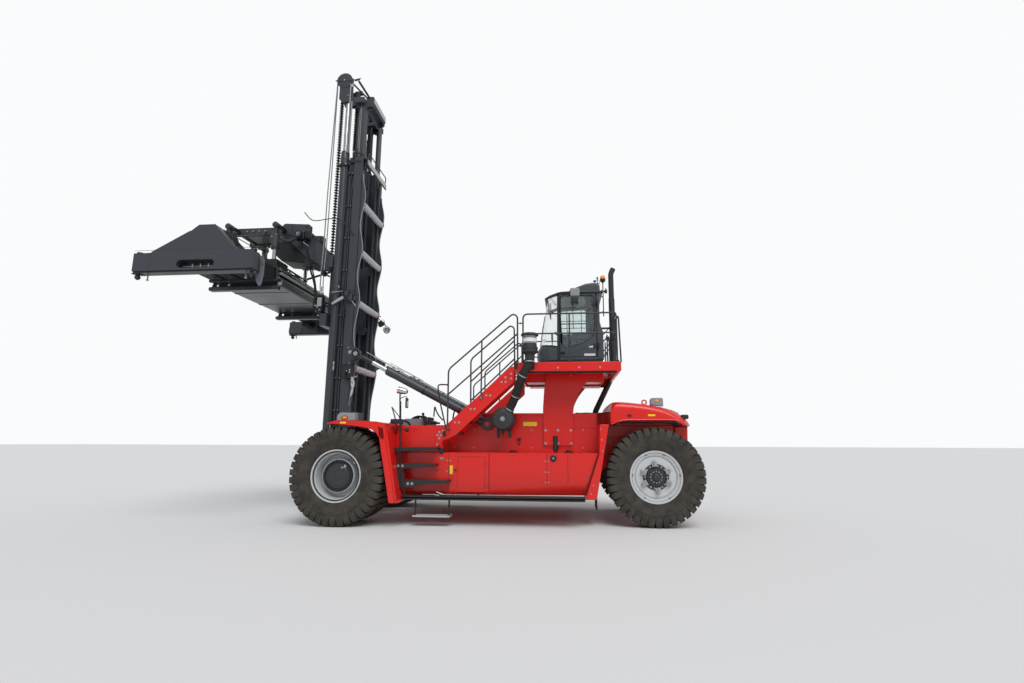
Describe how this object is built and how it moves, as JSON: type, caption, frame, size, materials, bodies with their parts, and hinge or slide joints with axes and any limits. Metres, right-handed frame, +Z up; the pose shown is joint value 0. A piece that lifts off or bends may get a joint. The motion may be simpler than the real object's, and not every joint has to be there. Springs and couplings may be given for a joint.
{
  "type": "heavy container forklift",
  "caption": "Heavy forklift with twin front wheels, a two-stage mast and a telescopic top spreader, raised cab, stairs and steered rear axle.",
  "frame": {"origin": "on the ground, under the middle of the machine's length and width", "axes": "+X forward, from the counterweight to the spreader; +Y to the driver's left; +Z up"},
  "size_m": [10.62, 6.04, 10.345],
  "materials": {
    "body_red": "semi-gloss paint",
    "mast_grey": "semi-gloss paint",
    "frame_dark": "semi-gloss paint",
    "rim_silver": "silver paint",
    "chrome": "ground and chromed",
    "steel": "oiled steel",
    "cast": "painted casting",
    "tyre": "rubber",
    "glass": "clear tinted",
    "black_plastic": "grained",
    "seat_fabric": "woven"
  },
  "bodies": {
    "chassis": {"chassis_frame": "body_red", "engine": "cast", "counterweight": "body_red", "rear_hood": "body_red", "side_tanks": "body_red", "front_fenders": "body_red", "rear_fenders": "body_red", "running_boards": "mast_grey", "platform": "body_red", "platform_columns": "body_red", "stairs": "body_red", "handrails": "mast_grey", "cab_shell": "mast_grey", "cab_glass": "glass", "driver_seat": "seat_fabric", "air_cleaner": "black_plastic", "exhaust": "frame_dark", "front_axle": "frame_dark", "rear_axle": "frame_dark"},
    "front_wheels_left_pair": {"front_tyres_left": "tyre", "front_rim_left": "rim_silver"},
    "front_wheels_right_pair": {"front_tyres_right": "tyre", "front_rim_right": "rim_silver"},
    "steering_knuckle_left": {"knuckle_left": "cast"},
    "steering_knuckle_right": {"knuckle_right": "cast"},
    "rear_wheel_left": {"rear_tyre_left": "tyre", "rear_rim_left": "rim_silver"},
    "rear_wheel_right": {"rear_tyre_right": "tyre", "rear_rim_right": "rim_silver"},
    "outer_mast": {"mast_outer": "mast_grey", "lift_cylinders": "mast_grey", "lift_chains_rear": "steel"},
    "tilt_cylinder_barrels": {"tilt_barrels": "mast_grey"},
    "tilt_cylinder_rods": {"tilt_rods": "chrome"},
    "inner_mast": {"mast_inner": "mast_grey", "lift_rods": "chrome", "lift_chains_front": "steel"},
    "lift_carriage": {"carriage": "mast_grey", "levelling_barrels": "mast_grey"},
    "levelling_rod_pair_left": {"levelling_rods_left": "chrome"},
    "levelling_rod_pair_right": {"levelling_rods_right": "chrome"},
    "saddle": {"spreader_saddle": "mast_grey"},
    "spreader_body": {"spreader_frame": "mast_grey"},
    "spreader_left_end": {"spreader_end_left": "mast_grey"},
    "spreader_right_end": {"spreader_end_right": "mast_grey"},
    "driver_door": {"cab_door": "mast_grey", "door_glass": "glass"}
  },
  "joints": [
    {"name": "front_wheels_left_roll", "type": "hinge", "parent": "chassis", "child": "front_wheels_left_pair", "pos_m": [1.53, 1.54, 0.905], "axis": [0, 1, 0], "continuous": true},
    {"name": "front_wheels_right_roll", "type": "hinge", "parent": "chassis", "child": "front_wheels_right_pair", "pos_m": [1.53, -1.54, 0.905], "axis": [0, 1, 0], "continuous": true},
    {"name": "steer_left", "type": "hinge", "parent": "chassis", "child": "steering_knuckle_left", "pos_m": [-4.37, 0.86, 0.905], "axis": [0, 0, 1], "range_deg": [-50, 50]},
    {"name": "steer_right", "type": "hinge", "parent": "chassis", "child": "steering_knuckle_right", "pos_m": [-4.37, -0.86, 0.905], "axis": [0, 0, 1], "range_deg": [-50, 50]},
    {"name": "rear_wheel_left_roll", "type": "hinge", "parent": "steering_knuckle_left", "child": "rear_wheel_left", "pos_m": [-4.37, 1.276, 0.905], "axis": [0, 1, 0], "continuous": true},
    {"name": "rear_wheel_right_roll", "type": "hinge", "parent": "steering_knuckle_right", "child": "rear_wheel_right", "pos_m": [-4.37, -1.276, 0.905], "axis": [0, 1, 0], "continuous": true},
    {"name": "mast_tilt", "type": "hinge", "parent": "chassis", "child": "outer_mast", "pos_m": [2.05, 0, 0.7], "axis": [0, -1, 0], "range_deg": [-5, 10]},
    {"name": "tilt_barrel_swing", "type": "hinge", "parent": "chassis", "child": "tilt_cylinder_barrels", "pos_m": [-1.11, 0, 1.9], "axis": [0, -1, 0], "range_deg": [-1.6, 3]},
    {"name": "tilt_rod_slide", "type": "slide", "parent": "tilt_cylinder_barrels", "child": "tilt_cylinder_rods", "axis": [0.8869, 0, 0.4619], "range_m": [-0.45, 0.225]},
    {"name": "mast_lift", "type": "slide", "parent": "outer_mast", "child": "inner_mast", "axis": [0, 0, 1], "range_m": [-1.25, 3.5], "deforming": ["lift_chains_rear"]},
    {"name": "carriage_lift", "type": "slide", "parent": "inner_mast", "child": "lift_carriage", "axis": [0, 0, 1], "range_m": [-1.25, 3.5], "deforming": ["lift_chains_front"]},
    {"name": "spreader_level", "type": "hinge", "parent": "lift_carriage", "child": "saddle", "pos_m": [4.12, 0, 5.32], "axis": [1, 0, 0], "range_deg": [-5, 5]},
    {"name": "levelling_left", "type": "slide", "parent": "lift_carriage", "child": "levelling_rod_pair_left", "axis": [0, 0, 1], "range_m": [-0.066, 0.066]},
    {"name": "levelling_right", "type": "slide", "parent": "lift_carriage", "child": "levelling_rod_pair_right", "axis": [0, 0, 1], "range_m": [-0.066, 0.066]},
    {"name": "side_shift", "type": "slide", "parent": "saddle", "child": "spreader_body", "axis": [0, 1, 0], "range_m": [-0.6, 0.6]},
    {"name": "extend_left", "type": "slide", "parent": "spreader_body", "child": "spreader_left_end", "axis": [0, 1, 0], "range_m": [0, 3.066]},
    {"name": "extend_right", "type": "slide", "parent": "spreader_body", "child": "spreader_right_end", "axis": [0, -1, 0], "range_m": [0, 3.066]},
    {"name": "door_swing", "type": "hinge", "parent": "chassis", "child": "driver_door", "pos_m": [-3.425, 0.706, 4], "axis": [0, 0, 1], "range_deg": [0, 70]}
  ],
  "couplings": [
    {"joint": "steer_right", "follows": "steer_left", "ratio": 1},
    {"joint": "tilt_barrel_swing", "follows": "mast_tilt", "ratio": 0.295},
    {"joint": "tilt_rod_slide", "follows": "mast_tilt", "m_per_rad": -2.56},
    {"joint": "carriage_lift", "follows": "mast_lift", "ratio": 1},
    {"joint": "levelling_left", "follows": "spreader_level", "m_per_rad": 0.75},
    {"joint": "levelling_right", "follows": "spreader_level", "m_per_rad": -0.75},
    {"joint": "extend_right", "follows": "extend_left", "ratio": 1}
  ]
}
